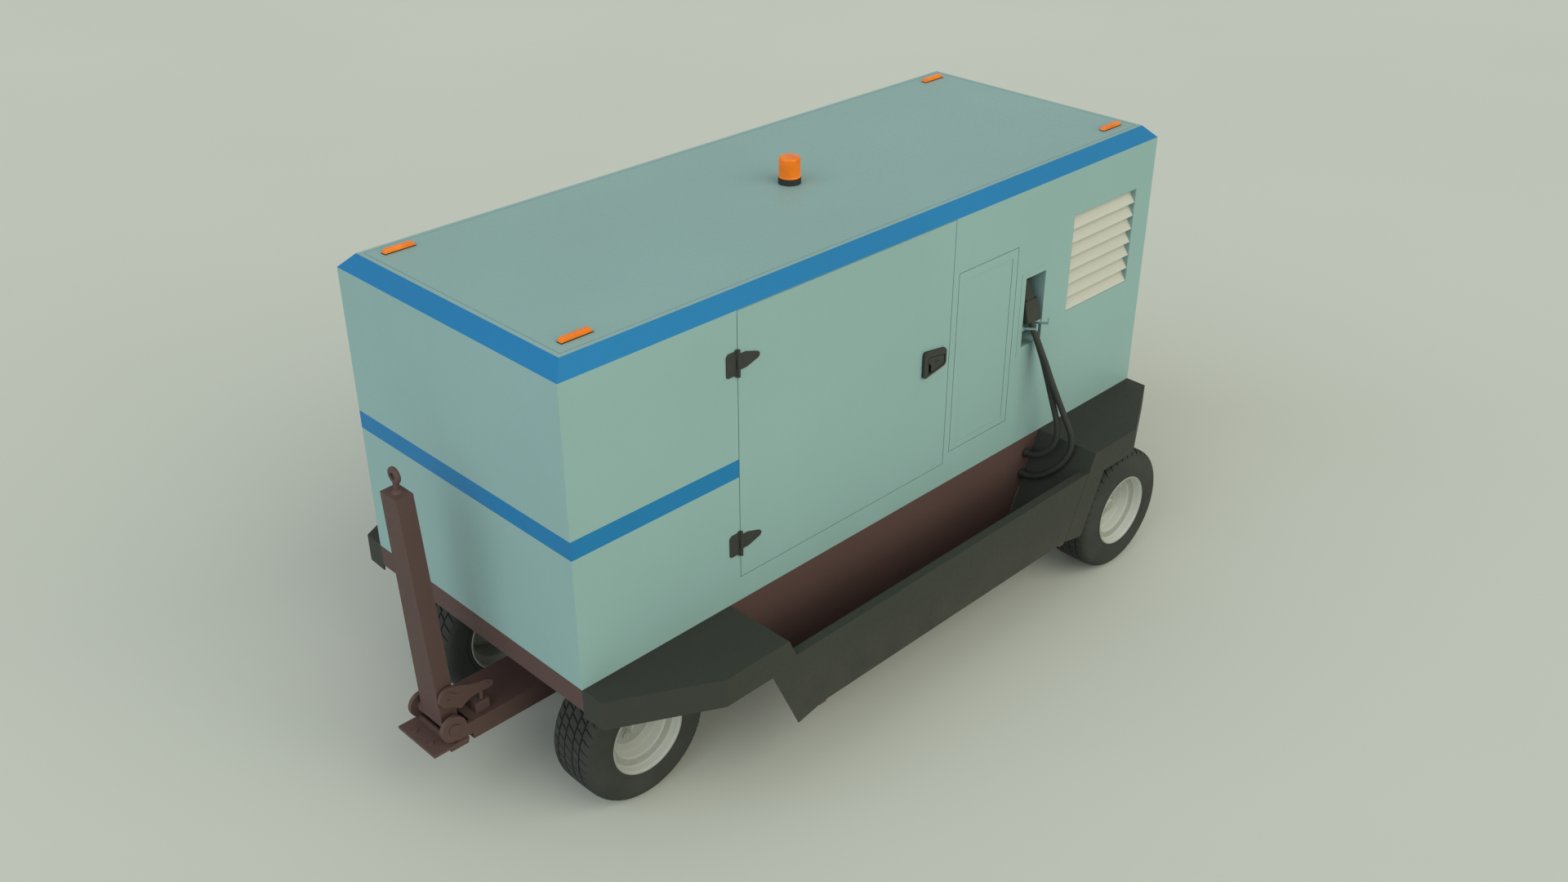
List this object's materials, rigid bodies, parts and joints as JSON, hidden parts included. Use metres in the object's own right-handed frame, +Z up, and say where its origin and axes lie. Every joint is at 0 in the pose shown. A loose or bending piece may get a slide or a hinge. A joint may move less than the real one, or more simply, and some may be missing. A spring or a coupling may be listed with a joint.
{
  "type": "towable diesel generator",
  "caption": "Enclosed diesel ground power unit on a steered four-wheel trailer, with side cable trays, plug holster, louvres, roof beacon and a tow bar folded upright.",
  "frame": {"origin": "on the ground, under the middle of the whole unit's bounding box", "axes": "+X along the unit towards its rear (the tow bar is at -X), the service side faces -Y, +Z up"},
  "size_m": [3.692, 1.936, 2.1429],
  "materials": {
    "cabinet_paint": "satin pale teal-green enamel",
    "band_paint": "satin mid blue enamel",
    "chassis_paint": "matte dark brown primer",
    "fender_paint": "matte near-black olive paint",
    "black_metal": "black powder coat",
    "black_plastic": "moulded black plastic",
    "cable_rubber": "black cable jacket",
    "plug_rubber": "moulded black rubber",
    "tyre_rubber": "black tyre rubber",
    "rim_paint": "light grey enamel",
    "blade_paint": "satin cream enamel",
    "orange_lens": "translucent orange lens",
    "engine_paint": "painted cast iron",
    "alternator_paint": "blue-grey enamel",
    "radiator_core": "black coated aluminium",
    "fan_plastic": "white glass-filled nylon",
    "bare_steel": "bare steel",
    "tank_plastic": "black rotomoulded plastic",
    "box_paint": "light grey enamel"
  },
  "bodies": {
    "chassis": {"chassis_frame": "chassis_paint", "floor_plate": "fender_paint", "canopy_frame": "cabinet_paint", "front_panel": "cabinet_paint", "rear_panel": "cabinet_paint", "near_panel": "cabinet_paint", "far_panel": "cabinet_paint", "roof_edge_trim": "band_paint", "roof_panel": "cabinet_paint", "door_hinge_leaves": "black_metal", "control_box": "box_paint", "plug_pocket": "cabinet_paint", "plug_prongs": "cabinet_paint", "output_plug": "plug_rubber", "output_cable_a": "cable_rubber", "output_cable_b": "cable_rubber", "cable_glands": "black_plastic", "louvre_frame": "cabinet_paint", "louvre_blades": "blade_paint", "outlet_grille": "black_metal", "beacon_base": "black_plastic", "beacon_lens": "orange_lens", "marker_bases": "black_plastic", "marker_lenses": "orange_lens", "fenders_near": "fender_paint", "fenders_far": "fender_paint", "tray_near": "fender_paint", "tray_far": "fender_paint", "engine": "engine_paint", "alternator": "alternator_paint", "radiator": "radiator_core", "exhaust_muffler": "bare_steel", "battery": "black_plastic", "fuel_tank": "tank_plastic", "rear_axle": "chassis_paint", "rear_springs": "black_metal", "turntable": "chassis_paint"},
    "steering": {"steering_frame": "chassis_paint", "drawbar": "chassis_paint", "foot_plate": "chassis_paint", "tow_pivot_pin": "chassis_paint", "brake_box": "chassis_paint"},
    "tow_bar": {"tow_bar": "chassis_paint", "tow_eye": "chassis_paint", "brake_crank": "chassis_paint"},
    "brake_plunger": {"brake_plunger": "chassis_paint"},
    "wheel_front_near": {"tyre_front_near": "tyre_rubber", "rim_front_near": "rim_paint"},
    "wheel_front_far": {"tyre_front_far": "tyre_rubber", "rim_front_far": "rim_paint"},
    "wheel_rear_near": {"tyre_rear_near": "tyre_rubber", "rim_rear_near": "rim_paint"},
    "wheel_rear_far": {"tyre_rear_far": "tyre_rubber", "rim_rear_far": "rim_paint"},
    "door": {"door_panel": "cabinet_paint", "door_hinge_straps": "black_metal", "latch_housing": "black_metal"},
    "latch_paddle": {"latch_paddle": "black_metal"},
    "hatch": {"control_hatch": "cabinet_paint"},
    "fan": {"cooling_fan": "fan_plastic"}
  },
  "joints": [
    {"name": "steering", "type": "hinge", "parent": "chassis", "child": "steering", "pos_m": [-1.18, 0, 0.62], "axis": [0, 0, 1], "range_deg": [-30, 30]},
    {"name": "tow_bar_fold", "type": "hinge", "parent": "steering", "child": "tow_bar", "pos_m": [-1.743, 0, 0.388], "axis": [0, -1, 0], "range_deg": [0, 100]},
    {"name": "brake_plunger_lift", "type": "slide", "parent": "steering", "child": "brake_plunger", "axis": [0, 0, 1], "range_m": [0, 0.014]},
    {"name": "wheel_front_near_spin", "type": "hinge", "parent": "steering", "child": "wheel_front_near", "pos_m": [-1.18, -0.459, 0.3], "axis": [0, 1, 0], "continuous": true},
    {"name": "wheel_front_far_spin", "type": "hinge", "parent": "steering", "child": "wheel_front_far", "pos_m": [-1.18, 0.459, 0.3], "axis": [0, 1, 0], "continuous": true},
    {"name": "wheel_rear_near_spin", "type": "hinge", "parent": "chassis", "child": "wheel_rear_near", "pos_m": [1.457, -0.826, 0.3], "axis": [0, 1, 0], "continuous": true},
    {"name": "wheel_rear_far_spin", "type": "hinge", "parent": "chassis", "child": "wheel_rear_far", "pos_m": [1.457, 0.826, 0.3], "axis": [0, 1, 0], "continuous": true},
    {"name": "door_hinge", "type": "hinge", "parent": "chassis", "child": "door", "pos_m": [-0.757, -0.659, 1.4], "axis": [0, 0, -1], "range_deg": [0, 110]},
    {"name": "latch_paddle_pull", "type": "hinge", "parent": "door", "child": "latch_paddle", "pos_m": [0.385, -0.654, 1.39], "axis": [0, 0, 1], "range_deg": [0, 35], "stiffness_Nm_per_rad": 0.6},
    {"name": "hatch_hinge", "type": "hinge", "parent": "chassis", "child": "hatch", "pos_m": [0.484, -0.6435, 1.32], "axis": [0, 0, -1], "range_deg": [0, 110]},
    {"name": "fan_spin", "type": "hinge", "parent": "chassis", "child": "fan", "pos_m": [0.635, 0.05, 1.36], "axis": [1, 0, 0], "continuous": true}
  ],
  "couplings": [
    {"joint": "brake_plunger_lift", "follows": "tow_bar_fold", "m_per_rad": 0.0075}
  ]
}
